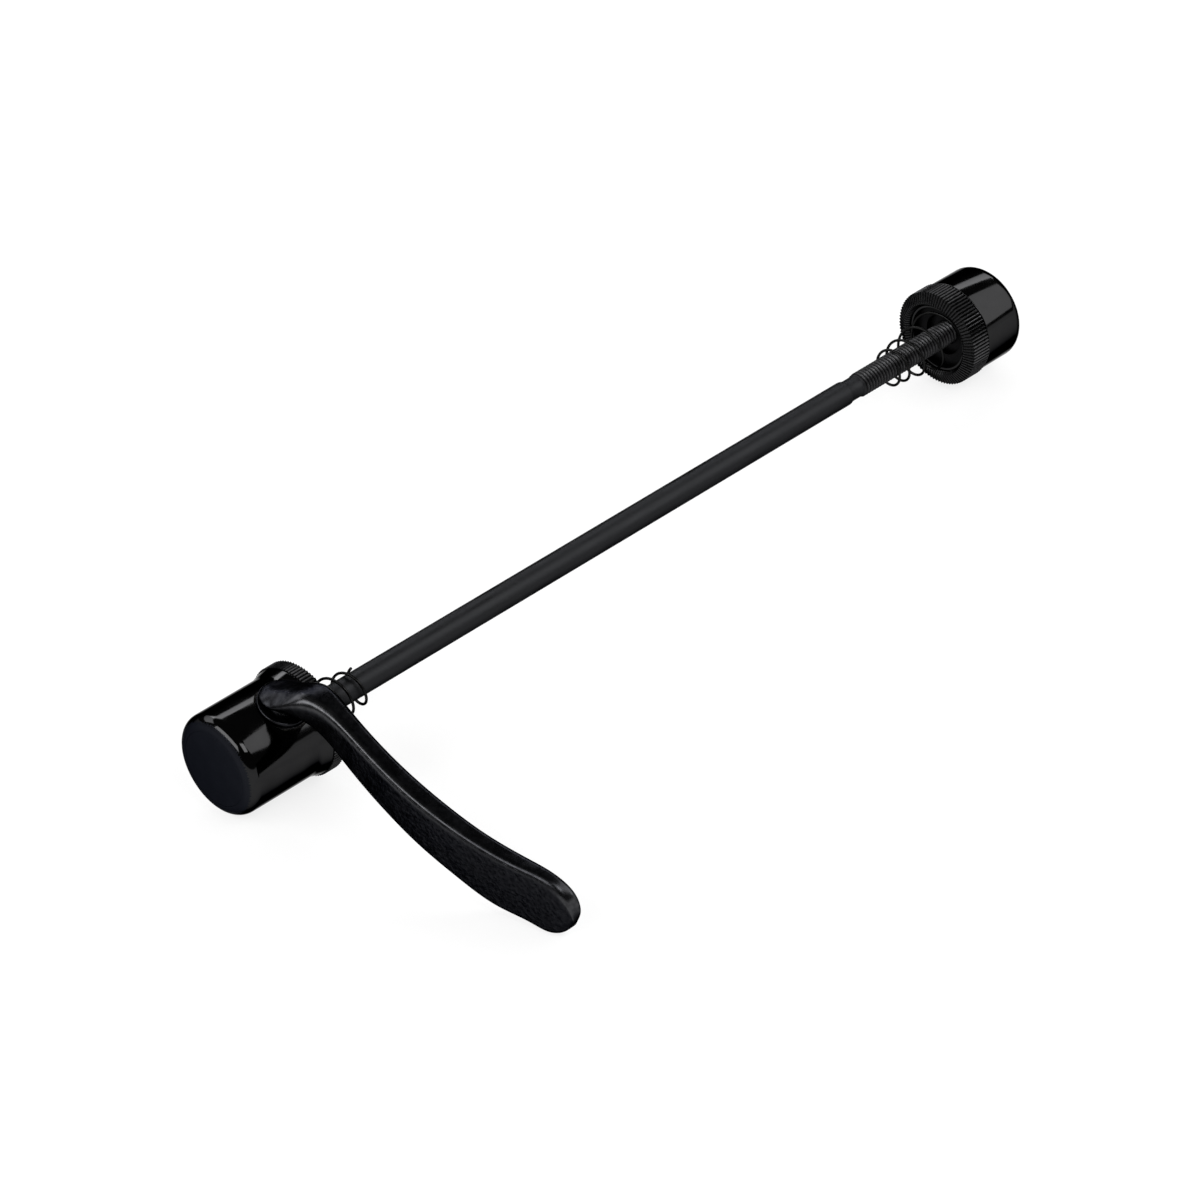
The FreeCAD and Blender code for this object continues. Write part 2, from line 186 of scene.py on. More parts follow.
def rounded_outline(corners):
    """Points of a closed flat outline, each corner rounded by its third value, if any."""
    points = []
    for index, corner in enumerate(corners):
        here = np.array(corner[:2], float)
        if len(corner) < 3:
            points.append(here)
            continue
        back = np.array(corners[index - 1][:2], float) - here
        ahead = np.array(corners[(index + 1) % len(corners)][:2], float) - here
        back /= np.linalg.norm(back)
        ahead /= np.linalg.norm(ahead)
        half = math.acos(np.clip(back @ ahead, -1, 1)) / 2
        inward = (back + ahead) / np.linalg.norm(back + ahead)
        sideways = (ahead - back) / np.linalg.norm(ahead - back)
        centre = here + inward * corner[2] / math.sin(half)
        for step in range(ROUND_STEPS + 1):
            turn = (math.pi / 2 - half) * (2 * step / ROUND_STEPS - 1)
            points.append(centre + corner[2] * (sideways * math.sin(turn) - inward * math.cos(turn)))
    return points


def lathe(corners):
    """Shell of revolution about X from a closed outline of (x, radius) corners."""
    points, faces, rings = [], [], []
    for x, radius in rounded_outline(corners):
        first = len(points)
        count = 1 if radius < 1e-6 else TURN_STEPS
        for step in range(count):
            turn = 2 * math.pi * step / TURN_STEPS
            points.append((x, radius * math.cos(turn), radius * math.sin(turn)))
        rings.append([first + step % count for step in range(TURN_STEPS + 1)])
    for here, ahead in zip(rings, rings[1:] + rings[:1]):
        for step in range(TURN_STEPS):
            face = (here[step], here[step + 1], ahead[step + 1], ahead[step])
            face = tuple(dict.fromkeys(face))
            if len(face) > 2:
                faces.append(face)
    return points, faces


def tube(rings):
    """Closed shell through rings of equal length, with a fan at each end."""
    count = len(rings[0])
    points = [tuple(point) for ring in rings for point in ring]
    faces = []
    for row in range(len(rings) - 1):
        for step in range(count):
            across = (step + 1) % count
            faces.append((row * count + step, row * count + across,
                          (row + 1) * count + across, (row + 1) * count + step))
    for row in (0, len(rings) - 1):
        points.append(tuple(np.mean(rings[row], axis=0)))
        for step in range(count):
            faces.append((row * count + step, row * count + (step + 1) % count, len(points) - 1))
    return points, faces


def moved(shell, matrix):
    """The shell after a transformation."""
    return [tuple(matrix @ Vector(point)) for point in shell[0]], shell[1]


def pin(radius, bottom, top):
    """Round shell along the cam shaft, between two heights."""
    return moved(lathe([(bottom, 0), (bottom, radius), (top, radius), (top, 0)]), UPRIGHT)


def build(name, shells, sharp=SHARP):
    """Mesh object from shells, smooth but for edges sharper than an angle in degrees."""
    mesh = bpy.data.meshes.new(name)
    points, faces = [], []
    for shell_points, shell_faces in shells:
        faces += [tuple(index + len(points) for index in face) for face in shell_faces]
        points += [tuple(value * MM for value in point) for point in shell_points]
    mesh.from_pydata(points, [], faces)
    tidy = bmesh.new()
    tidy.from_mesh(mesh)
    bmesh.ops.recalc_face_normals(tidy, faces=tidy.faces)
    tidy.to_mesh(mesh)
    tidy.free()
    smooth(mesh, sharp)
    piece = bpy.data.objects.new(name, mesh)
    bpy.context.scene.collection.objects.link(piece)
    return piece


def smooth(mesh, sharp):
    """Smooth shading, with edges sharper than an angle in degrees left sharp."""
    mesh.shade_smooth()
    mesh.set_sharp_from_angle(angle=math.radians(sharp))


def combine(piece, operation, shell):
    """Applies a boolean of the piece with a shell."""
    tool = build("tool", [shell])
    change = piece.modifiers.new("change", "BOOLEAN")
    change.operation = operation
    change.solver = "EXACT"
    change.object = tool
    bpy.context.view_layer.update()
    mesh = bpy.data.meshes.new_from_object(piece.evaluated_get(bpy.context.evaluated_depsgraph_get()))
    piece.modifiers.clear()
    piece.data = mesh
    bpy.data.objects.remove(tool)


def clean(mesh):
    """Merges points that booleans leave on one spot, drops faces without area and closes gaps."""
    tidy = bmesh.new()
    tidy.from_mesh(mesh)
    bmesh.ops.remove_doubles(tidy, verts=tidy.verts, dist=MERGE * MM)
    bmesh.ops.dissolve_degenerate(tidy, edges=tidy.edges, dist=MERGE * MM)
    bmesh.ops.holes_fill(tidy, edges=tidy.edges)
    bmesh.ops.triangulate(tidy, faces=tidy.faces)
    bmesh.ops.recalc_face_normals(tidy, faces=tidy.faces)
    tidy.to_mesh(mesh)
    tidy.free()


# Materials: colours are linear, and each range of roughness follows its two colours

# Painted highlight on the lever's upper outer edge and tip: a lighter colour, and roughness lowered by a
# little
PAINTED_HIGHLIGHT_COLOUR = (0.052, 0.0525, 0.055)
PAINTED_HIGHLIGHT_GLOSS = 0.05


def shader_of(name):
    """New material's node tree, its principled shader and the object's coordinates."""
    material = bpy.data.materials.new(name)
    material.use_nodes = True
    tree = material.node_tree
    shader = tree.nodes["Principled BSDF"]
    place = tree.nodes.new("ShaderNodeTexCoord").outputs["Object"]
    return material, tree, shader, place


def stretched(tree, place, scale):
    """Coordinates multiplied by a scale for each axis."""
    mapping = tree.nodes.new("ShaderNodeMapping")
    mapping.inputs["Scale"].default_value = scale
    tree.links.new(place, mapping.inputs["Vector"])
    return mapping.outputs["Vector"]


def turning_lines(tree, place):
    """Coordinates that change only along and away from the rod's axis, for marks left by a lathe."""
    parts = tree.nodes.new("ShaderNodeSeparateXYZ")
    away = tree.nodes.new("ShaderNodeVectorMath")
    away.operation = "LENGTH"
    across = stretched(tree, place, (0, 1, 1))
    both = tree.nodes.new("ShaderNodeCombineXYZ")
    tree.links.new(place, parts.inputs[0])
    tree.links.new(across, away.inputs[0])
    tree.links.new(parts.outputs["X"], both.inputs["X"])
    tree.links.new(away.outputs["Value"], both.inputs["Y"])
    return both.outputs["Vector"]


def calculated(tree, operation, first, second=0.0):
    """Result of a sum on a texture's value and another value or number."""
    node = tree.nodes.new("ShaderNodeMath")
    node.operation = operation
    tree.links.new(first, node.inputs[0])
    if isinstance(second, (int, float)):
        node.inputs[1].default_value = second
    else:
        tree.links.new(second, node.inputs[1])
    return node.outputs[0]


def noise(tree, place, scale, detail=4.0):
    """Noise of a scale in waves per metre."""
    node = tree.nodes.new("ShaderNodeTexNoise")
    node.inputs["Scale"].default_value = scale
    node.inputs["Detail"].default_value = detail
    tree.links.new(place, node.inputs["Vector"])
    return node.outputs["Fac"]


def spread(tree, value, low, high, start=0.35, end=0.65):
    """A texture's value carried over to a range."""
    node = tree.nodes.new("ShaderNodeMapRange")
    for socket, number in (("From Min", start), ("From Max", end), ("To Min", low), ("To Max", high)):
        node.inputs[socket].default_value = number
    tree.links.new(value, node.inputs["Value"])
    return node.outputs["Result"]


def blended(tree, factor, dark, light):
    """Colour between two, by a texture's value."""
    node = tree.nodes.new("ShaderNodeMix")
    node.data_type = "RGBA"
    node.inputs["A"].default_value = (*dark, 1)
    node.inputs["B"].default_value = (*light, 1)
    tree.links.new(factor, node.inputs["Factor"])
    return node.outputs["Result"]


def bumped(tree, height, depth, below=None):
    """Normal with a relief of a depth in millimetres, over another normal if there is one."""
    node = tree.nodes.new("ShaderNodeBump")
    node.inputs["Distance"].default_value = depth * MM
    tree.links.new(height, node.inputs["Height"])
    if below:
        tree.links.new(below, node.inputs["Normal"])
    return node.outputs["Normal"]


def finish_surface(tree, shader, colour, roughness, normal, edge):
    """Metal under a dark finish, whose gloss changes towards its outline by an edge tint."""
    tree.links.new(colour, shader.inputs["Base Color"])
    tree.links.new(roughness, shader.inputs["Roughness"])
    tree.links.new(normal, shader.inputs["Normal"])
    shader.inputs["Metallic"].default_value = 1.0
    shader.inputs["Specular Tint"].default_value = (edge, edge, edge, 1)


def gloss_black(name, dark, light, low, high):
    """Turned metal in a black gloss finish: faint turning lines, dust-fine unevenness, and tone and gloss
    that vary in soft clouds.
    """
    material, tree, shader, place = shader_of(name)
    lines = noise(tree, turning_lines(tree, place), scale=9000, detail=2.0)
    cloud = noise(tree, place, scale=260)
    grain = noise(tree, place, scale=5200, detail=3.0)
    normal = bumped(tree, lines, depth=0.0012)
    normal = bumped(tree, grain, depth=0.0008, below=normal)
    colour = blended(tree, cloud, dark, light)
    finish_surface(tree, shader, colour, spread(tree, cloud, low, high), normal, edge=0.3)
    return material


def satin_disc(name, dark, light, low, high):
    """Satin face with fine turning circles."""
    material, tree, shader, place = shader_of(name)
    lines = noise(tree, turning_lines(tree, place), scale=11000, detail=3.0)
    cloud = noise(tree, place, scale=420)
    normal = bumped(tree, lines, depth=0.004)
    colour = blended(tree, cloud, dark, light)
    finish_surface(tree, shader, colour, spread(tree, lines, low, high), normal, edge=0.4)
    return material


def satin_lever(name, dark, light, low, high):
    """Black painted casting: soft unevenness, stippled broad faces, and a highlight painted on the ridge and
    tip, lighter in colour and a little glossier.
    """
    material, tree, shader, place = shader_of(name)
    facing = tree.nodes.new("ShaderNodeSeparateXYZ")
    coordinates = tree.nodes.new("ShaderNodeTexCoord")
    tree.links.new(coordinates.outputs["Normal"], facing.inputs[0])
    sideways = calculated(tree, "ABSOLUTE", facing.outputs["X"])
    broad = spread(tree, sideways, low=0.0, high=1.0, start=0.86, end=0.99)
    along = tree.nodes.new("ShaderNodeSeparateXYZ")
    tree.links.new(place, along.inputs[0])
    paddle = spread(tree, along.outputs["Y"], low=0.0, high=1.0, start=-0.014, end=-0.024)
    cells = noise(tree, place, scale=1200, detail=2.0)
    grain = calculated(tree, "MULTIPLY", cells, calculated(tree, "MULTIPLY", broad, paddle))
    cloud = noise(tree, place, scale=300)
    peel = noise(tree, place, scale=900, detail=1.0)
    normal = bumped(tree, peel, depth=0.004)
    normal = bumped(tree, grain, depth=0.11, below=normal)
    # Painted highlight: where the point attribute says so, speckled by the cells, the colour turns lighter
    # and the roughness drops
    ridge = tree.nodes.new("ShaderNodeAttribute")
    ridge.attribute_name = "painted_highlight"
    painted_highlight = calculated(tree, "MULTIPLY", ridge.outputs["Fac"], spread(tree, cells, low=0.55, high=1.0))
    paint = blended(tree, spread(tree, cells, low=0.0, high=1.0, start=0.20, end=0.80), dark, light)
    colour = tree.nodes.new("ShaderNodeMix")
    colour.data_type = "RGBA"
    colour.inputs["B"].default_value = (*PAINTED_HIGHLIGHT_COLOUR, 1)
    tree.links.new(paint, colour.inputs["A"])
    tree.links.new(painted_highlight, colour.inputs["Factor"])
    sheen = calculated(tree, "MULTIPLY_ADD", painted_highlight, -PAINTED_HIGHLIGHT_GLOSS)
    tree.links.new(spread(tree, cloud, low, high), sheen.node.inputs[2])
    finish_surface(tree, shader, colour.outputs["Result"], sheen, normal, edge=0.06)
    return material


def drawn_steel(name, dark, light, low, high):
    """Blackened drawn steel: fine lines along the rod, with uneven sheen."""
    material, tree, shader, place = shader_of(name)
    lines = noise(tree, stretched(tree, place, (0.02, 1, 1)), scale=4200, detail=3.0)
    cloud = noise(tree, stretched(tree, place, (0.25, 1, 1)), scale=500)
    normal = bumped(tree, lines, depth=0.006)
    colour = blended(tree, cloud, dark, light)
    finish_surface(tree, shader, colour, spread(tree, cloud, low, high), normal, edge=0.25)
    return material


def cut_steel(name, dark, light, low, high, edge=0.4):
    """Machined metal with a fine even grain, lighter and darker in small clouds."""
    material, tree, shader, place = shader_of(name)
    grain = noise(tree, place, scale=3800, detail=4.0)
    cloud = noise(tree, place, scale=700)
    normal = bumped(tree, grain, depth=0.006)
    colour = blended(tree, cloud, dark, light)
    finish_surface(tree, shader, colour, spread(tree, grain, low, high), normal, edge)
    return material


def toothed_steel(name, teeth):
    """Blackened steel ring cut with teeth around the rod: painted shade darkens the grooves, and the crests
    are lighter and glossier, unevenly as with wear.
    """
    material, tree, shader, place = shader_of(name)
    parts = tree.nodes.new("ShaderNodeSeparateXYZ")
    tree.links.new(place, parts.inputs[0])
    angle = calculated(tree, "ARCTAN2", parts.outputs["Z"], parts.outputs["Y"])
    wave = calculated(tree, "COSINE", calculated(tree, "MULTIPLY", angle, teeth))
    grain = noise(tree, place, scale=3800, detail=4.0)
    groove_shade_and_wear = calculated(tree, "ADD", wave, spread(tree, grain, low=-0.5, high=0.5))
    crest = spread(tree, groove_shade_and_wear, low=0.0, high=1.0, start=-0.6, end=1.0)
    normal = bumped(tree, grain, depth=0.008)
    # Painted shade: dark colour in the grooves between the teeth, lighter on the crests
    colour = blended(tree, crest, (0.003, 0.003, 0.003), (0.032, 0.032, 0.033))
    roughness = spread(tree, crest, low=0.55, high=0.2, start=0.0, end=1.0)
    finish_surface(tree, shader, colour, roughness, normal, edge=0.2)
    return material


def threaded_steel(name):
    """Blackened cut thread: painted shade in its groove, and its crest lighter and glossier, unevenly as with
    wear.
    """
    material, tree, shader, place = shader_of(name)
    away = tree.nodes.new("ShaderNodeVectorMath")
    away.operation = "LENGTH"
    tree.links.new(stretched(tree, place, (0, 1, 1)), away.inputs[0])
    groove = (ROD_R - THREAD_DEPTH) * MM
    crest = spread(tree, away.outputs["Value"], low=0.0, high=1.0, start=groove, end=ROD_R * MM)
    grain = noise(tree, place, scale=3800, detail=3.0)
    groove_shade_and_wear = calculated(tree, "MULTIPLY", crest, spread(tree, grain, low=0.5, high=1.0))
    # Painted shade: dark colour in the thread's groove, by distance from the axis, lighter on the crest
    colour = blended(tree, groove_shade_and_wear, (0.003, 0.003, 0.0032), (0.058, 0.058, 0.060))
    roughness = spread(tree, groove_shade_and_wear, low=0.5, high=0.28, start=0.0, end=1.0)
    finish_surface(tree, shader, colour, roughness, bumped(tree, grain, depth=0.006), edge=0.2)
    return material


def moulded(name, dark, light, low, high):
    """Plastic with a fine moulded grain."""
    material = cut_steel(name, dark, light, low, high, edge=1.0)
    material.node_tree.nodes["Principled BSDF"].inputs["Metallic"].default_value = 0.0
    return material


GLOSS = (0.018, 0.018, 0.0185), (0.026, 0.026, 0.0265), 0.06, 0.11
MATERIALS = {
    "housing_black": gloss_black("housing_gloss", *GLOSS),
    "nut_black": gloss_black("nut_gloss", *GLOSS),
    "cap_black": satin_disc("cap_satin", (0.011, 0.0118, 0.0150), (0.014, 0.015, 0.019), 0.34, 0.46),
    "lever_black": satin_lever("lever_paint", (0.011, 0.0112, 0.0127), (0.025, 0.0254, 0.0282), 0.24, 0.32),
    "rod_steel": drawn_steel("rod_drawn", (0.018, 0.0184, 0.0195), (0.028, 0.0286, 0.0303), 0.42, 0.54),
    "spring_wire": drawn_steel("wire_drawn", (0.009, 0.009, 0.009), (0.018, 0.018, 0.018), 0.22, 0.34),
    "shaft_steel": cut_steel("shaft_cut", (0.34, 0.34, 0.35), (0.46, 0.46, 0.47), 0.22, 0.34, edge=1.0),
    "washer_steel": cut_steel("washer_cut", (0.10, 0.10, 0.105), (0.18, 0.18, 0.185), 0.24, 0.36, edge=1.0),
    "bush_brass": cut_steel("bush_cut", (0.05, 0.048, 0.045), (0.09, 0.086, 0.08), 0.26, 0.38),
    "insert_nylon": moulded("insert_moulded", (0.010, 0.010, 0.012), (0.018, 0.018, 0.021), 0.42, 0.58),
}
THREAD = threaded_steel("thread_cut")
# Painted shade: a darker finish on the faces inside the spring recesses of the housing and the nut
RECESS = satin_disc("recess_painted_shade", (0.008, 0.008, 0.0085), (0.013, 0.013, 0.0135), 0.42, 0.55)


def dress(piece, slot, body, *nodes):
    """Gives a new piece its material, body and the CAD nodes that it stands for."""
    piece.data.materials.clear()
    piece.data.materials.append(MATERIALS[slot])
    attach(piece, body)
    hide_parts(*nodes)


def refinish(piece, material, picked):
    """Gives another material to the faces that a test of x and radius in millimetres picks."""
    piece.data.materials.append(material)
    for face in piece.data.polygons:
        if picked(face.center.x / MM, math.hypot(face.center.y, face.center.z) / MM):
            face.material_index = len(piece.data.materials) - 1


# Head

def make_housing():
    """Turned housing with true rounds, its lever seat, cross bores and clip recess."""
    outer = -HOUSING_LENGTH
    cap_seat = outer + END_CAP_THICKNESS
    housing = build("housing_shell", [lathe([
        (outer, END_CAP_R),
        (outer, HOUSING_R, HOUSING_EDGE),
        (FLARE_START, HOUSING_R, FLARE_ROUND),
        (RING_BACK, FLARE_R, EDGE_BREAK),
        (RING_BACK, SPIGOT_R),
        (-SPIGOT_SETBACK, SPIGOT_R, EDGE_BREAK),
        (-SPIGOT_SETBACK, RECESS_R, EDGE_BREAK),
        (-LEVER_RECESS, RECESS_R),
        (-LEVER_RECESS, ROD_R + BORE_GAP),
        (CHAMBER_END, ROD_R + BORE_GAP),
        (CHAMBER_END, CHAMBER_R),
        (cap_seat, CHAMBER_R),
        (cap_seat, END_CAP_R),
    ])])
    combine(housing, "UNION", pin(PAD_R, CHAMBER_R + PAD_ROOT, PAD_TOP))
    for radius, bottom, top in (
        (PAD_R, PAD_TOP, CUT_REACH),
        (BUSH_OUTER_R, 0, CUT_REACH - 1),
        (FAR_BUSH_OUTER_R, -CUT_REACH, 0),
        (CLIP_RECESS_R, 1 - CUT_REACH, -CLIP_RECESS_FLOOR),
    ):
        combine(housing, "DIFFERENCE", pin(radius, bottom, top))
    clean(housing.data)
    housing.data.transform(LEAN)
    smooth(housing.data, SHARP)
    dress(housing, "housing_black", "housing", "cam_housing")
    # Painted shade inside the lever-side recess
    refinish(housing, RECESS, lambda x, radius: CHAMBER_END - NEAR < x < 0 and radius < RECESS_R + NEAR)
    refinish(housing, MATERIALS["cap_black"], lambda x, radius: x < SATIN_REACH - HOUSING_LENGTH)


def make_end_cap():
    """Satin disc with a softly broken edge, and its plug."""
    outer = -HOUSING_LENGTH
    seat = outer + END_CAP_THICKNESS
    cap = build("end_disc", [lathe([
        (outer, 0),
        (outer, END_CAP_R, END_CAP_EDGE),
        (seat, END_CAP_R),
        (seat, CHAMBER_R),
        (seat + END_CAP_PLUG, CHAMBER_R),
        (seat + END_CAP_PLUG, 0),
    ])])
    dress(cap, "cap_black", "housing", "housing_end_cap")


# Lever

CORNER_CUT = 0.55        # rounding of the lever's section, back along each side of a corner
RIDGE_CUT = 1.3          # the same for its upper outer edge at the boss, fading to that along the arm
RIDGE_FADE = 60.0
MOST_CUT = 0.48          # share of a side that a rounding may take
RIDGE_START = 7.0        # from the shaft, where the chamfer of that edge has turned into a ridge
RIDGE_TURN = (0.25, 0.2)  # how far its upper corner then moves out and down, as shares of the chamfer
# Width of that edge's chamfer as a share of the solid's, by distance from the shaft
EDGE_WIDTHS = ((-3.8, 1.0), (-2.1, 1.1), (0.0, 1.5), (3.5, 1.55), (7.0, 1.2), (11.0, 1.0))
# How strong the painted highlight is by distance from the shaft, on that edge and over the tip
PAINTED_HIGHLIGHT_EDGE = ((1, 0.0), (5, 1.0), (26, 0.85), (46, 0.15), (62, 0.15), (65, 1.0))
PAINTED_HIGHLIGHT_TIP = ((61, 0.0), (65, 1.0))
PAINTED_HIGHLIGHT_INSET = 2         # points of the edge's rounding on each side that the painted highlight leaves out
EDGE_CORNERS = (5, 6)    # of the section's eight
SECTION_CORNERS = 8
CORNER_STEPS = 5
LEVER_SHARP = 50
STEPS_PER_STATION = 9


def by_distance(distance, table):
    """Value between the rows of a table of distances and values."""
    return np.interp(distance, *zip(*table))


def lever_section(distance, shift, half_thickness, low, high, chamfer_x, chamfer_z):
    """Points of the lever's section across its arm: the solid's eight corners, each rounded."""
    left = SHAFT_X + shift - half_thickness
    right = SHAFT_X + shift + half_thickness
    bottom = BOSS_BOTTOM + low
    top = BOSS_BOTTOM + high
    ridge = min(max(distance / RIDGE_START, 0), 1)
    wider = by_distance(distance, EDGE_WIDTHS)
    edge_x, edge_z = wider * chamfer_x, wider * chamfer_z
    corners = np.array([
        (left + chamfer_x, -distance, bottom),
        (right - chamfer_x, -distance, bottom),
        (right, -distance, bottom + chamfer_z),
        (right, -distance, top - chamfer_z),
        (right - chamfer_x, -distance, top),
        (left + edge_x * (1 - RIDGE_TURN[0] * ridge), -distance, top - edge_z * RIDGE_TURN[1] * ridge),
        (left, -distance, top - edge_z),
        (left, -distance, bottom + chamfer_z),
    ])
    points = []
    for index, here in enumerate(corners):
        cut = CORNER_CUT
        if index in EDGE_CORNERS:
            cut += (RIDGE_CUT - CORNER_CUT) * min(max(1 - distance / RIDGE_FADE, 0), 1)
        ends = []
        for other in (corners[index - 1], corners[(index + 1) % len(corners)]):
            side = other - here
            length = np.linalg.norm(side)
            ends.append(here + side * min(cut / length, MOST_CUT))
        for step in range(CORNER_STEPS):
            turn = step / (CORNER_STEPS - 1)
            points.append((1 - turn) ** 2 * ends[0] + 2 * turn * (1 - turn) * here + turn ** 2 * ends[1])
    return np.array(points)


def lever_sections():
    """The lever's sections from the boss to the tip, which is half an ellipse."""
    sections = [lever_section(*station) for station in STATIONS]
    middle = (TIP_LOW + TIP_HIGH) / 2
    for share in TIP_SHARES:
        width = math.sqrt(1 - share * share)
        half_width = width * (TIP_HIGH - TIP_LOW) / 2
        half_thickness = TIP_HALF_THICKNESS * math.sqrt(width)
        chamfer = ARM_CHAMFER * width
        beyond = TIP_LENGTH * share
        sections.append(lever_section(
            TIP_CENTRE + beyond, TIP_SHIFT + TIP_SWEEP * beyond, half_thickness,
            middle - half_width, middle + half_width,
            chamfer * half_thickness / TIP_HALF_THICKNESS, chamfer,
        ))
    return np.array(sections)


def through(sections):
    """Sections on a smooth curve through the given ones, a natural cubic spline by chord length."""
    count = len(sections)
    gaps = np.linalg.norm(np.diff(sections, axis=0), axis=2).mean(axis=1)
    matrix = np.zeros((count, count))
    right = np.zeros((count, *sections.shape[1:]))
    matrix[0, 0] = matrix[-1, -1] = 1
    for row in range(1, count - 1):
        before, after = gaps[row - 1], gaps[row]
        matrix[row, row - 1:row + 2] = before, 2 * (before + after), after
        ahead = (sections[row + 1] - sections[row]) / after
        behind = (sections[row] - sections[row - 1]) / before
        right[row] = 6 * (ahead - behind)
    bend = np.linalg.solve(matrix, right.reshape(count, -1)).reshape(right.shape)
    rings = []
    for row, gap in enumerate(gaps):
        for step in range(STEPS_PER_STATION):
            share = step / STEPS_PER_STATION
            rest = 1 - share
            rings.append(
                rest * sections[row] + share * sections[row + 1]
                + gap * gap / 6 * ((rest ** 3 - rest) * bend[row] + (share ** 3 - share) * bend[row + 1])
            )
    return rings + [sections[-1]]


def make_lever():
    """Lever with its round collar, and a record of where a highlight is painted on it."""
    arm = tube(through(lever_sections()))
    collar = moved(lathe([
        (BOSS_BOTTOM, 0),
        (BOSS_BOTTOM, BOSS_R, EDGE_BREAK),
        (BOSS_BOTTOM + BOSS_COLLAR, BOSS_R, COLLAR_EDGE),
        (BOSS_BOTTOM + BOSS_COLLAR, 0),
    ]), UPRIGHT)
    lever = build("lever_arm", [arm, collar], LEVER_SHARP)
    # The painted highlight's strength, kept on the arm's points along its upper outer edge and over the tip
    painted_highlight = lever.data.attributes.new("painted_highlight", "FLOAT", "POINT")
    across = SECTION_CORNERS * CORNER_STEPS
    ends = 2                # the middles of the two end fans come last
    for index in range(len(arm[0]) - ends):
        step = index % across - EDGE_CORNERS[0] * CORNER_STEPS
        distance = -arm[0][index][1]
        if PAINTED_HIGHLIGHT_INSET <= step < len(EDGE_CORNERS) * CORNER_STEPS - PAINTED_HIGHLIGHT_INSET:
            painted_highlight.data[index].value = by_distance(distance, PAINTED_HIGHLIGHT_EDGE)
        elif -CORNER_STEPS <= step < PAINTED_HIGHLIGHT_INSET:
            painted_highlight.data[index].value = by_distance(distance, PAINTED_HIGHLIGHT_TIP)
    lever.data.transform(LEAN)
    dress(lever, "lever_black", "lever", "cam_lever")


# Rod

def make_rod():
    """Rod with its slotted eye, its neck and a cut thread."""
    rings = [[point] * ROD_SIDES for point in (
        (EYE_X + EYE_SLOT[0], ROD_R),
        (NECK_START - NECK_EDGE[0], ROD_R),
        (NECK_START, ROD_R - NECK_EDGE[1]),
        (NECK_START + NECK_RAMP, NECK_R),
        (NECK_END, NECK_R),
    )]
    rows = round((ROD_TIP - NECK_END) / THREAD_PITCH * THREAD_ROWS)
    for row in range(1, rows + 1):
        x = NECK_END + (ROD_TIP - NECK_END) * row / rows
        ramp = NECK_R + (ROD_R - NECK_R) * (x - NECK_END) / NECK_RAMP
        chamfer = ROD_R - ROD_TIP_CHAMFER + ROD_TIP - x
        crest = min(ROD_R, ramp, chamfer)
        deep = min(1.0, (x - NECK_END) / THREAD_PITCH)
        ring = []
        for side in range(ROD_SIDES):
            phase = (x / THREAD_PITCH - side / ROD_SIDES) % 1
            cut = max(0.0, min(1.0, THREAD_SLOPE * abs(phase - 0.5) - THREAD_FLAT))
            ring.append((x, crest - deep * THREAD_DEPTH * cut))
        rings.append(ring)
    turned = []
    for ring in rings:
        turned.append([])
        for side, (x, radius) in enumerate(ring):
            turn = 2 * math.pi * side / ROD_SIDES
            turned[-1].append((x, radius * math.cos(turn), radius * math.sin(turn)))
    outlines = []
    for half_x, half_y, corner in (EYE_HEAD, EYE_SLOT):
        outlines.append(rounded_outline([
            (EYE_X - half_x, -half_y, corner), (EYE_X + half_x, -half_y, corner),
            (EYE_X + half_x, half_y, corner), (EYE_X - half_x, half_y, corner),
        ]))
    head, slot = outlines
    half = HEAD_THICKNESS / 2
    loops = ((head, -half), (head, half), (slot, half), (slot, -half))
    points = [(x, y, height) for outline, height in loops for x, y in outline]
    count = len(head)
    faces = []
    for row in range(len(loops)):
        here, ahead = row * count, (row + 1) % len(loops) * count
        for step in range(count):
            across = (step + 1) % count
            faces.append((here + step, here + across, ahead + across, ahead + step))
    rod = build("rod_threaded", [tube(turned), (points, faces)], ROD_SHARP)
    rod.data.transform(LEAN)
    dress(rod, "rod_steel", "rod", "skewer_rod")
    refinish(rod, THREAD, lambda x, radius: x > NECK_END + THREAD_PITCH)


# Springs

def make_spring(name, body, node, seat, reach, closing, place):
    """Conical spring of round wire along a smooth curve, from its seat to its reach."""
    first = seat + WIRE_R
    last = reach - WIRE_R
    steps = round(SPRING_TURNS * SPRING_STEPS)
    centres = []
    for step in range(steps + 1):
        left = 1 - step / steps
        radius = SPRING_SMALL_R + (SPRING_BIG_R - SPRING_SMALL_R) * left ** SPRING_TAPER
        angle = 2 * math.pi * SPRING_TURNS * (1 - left)
        centres.append(Vector((
            last - (last - first) * left ** closing,
            radius * math.cos(angle),
            radius * math.sin(angle) - SPRING_SAG * (1 - left),
        )))
    rings = []
    turns = [2 * math.pi * corner / WIRE_SIDES for corner in range(WIRE_SIDES)]
    for step, centre in enumerate(centres):
        course = (centres[min(step + 1, steps)] - centres[max(step - 1, 0)]).normalized()
        side = course.cross(Vector((0, centre.y, centre.z))).normalized()
        outward = side.cross(course)
        rings.append([centre + WIRE_R * (outward * math.cos(turn) + side * math.sin(turn)) for turn in turns])
    spring = build(name, [moved(tube(rings), place)], WIRE_SHARP)
    dress(spring, "spring_wire", body, node)


# Nut

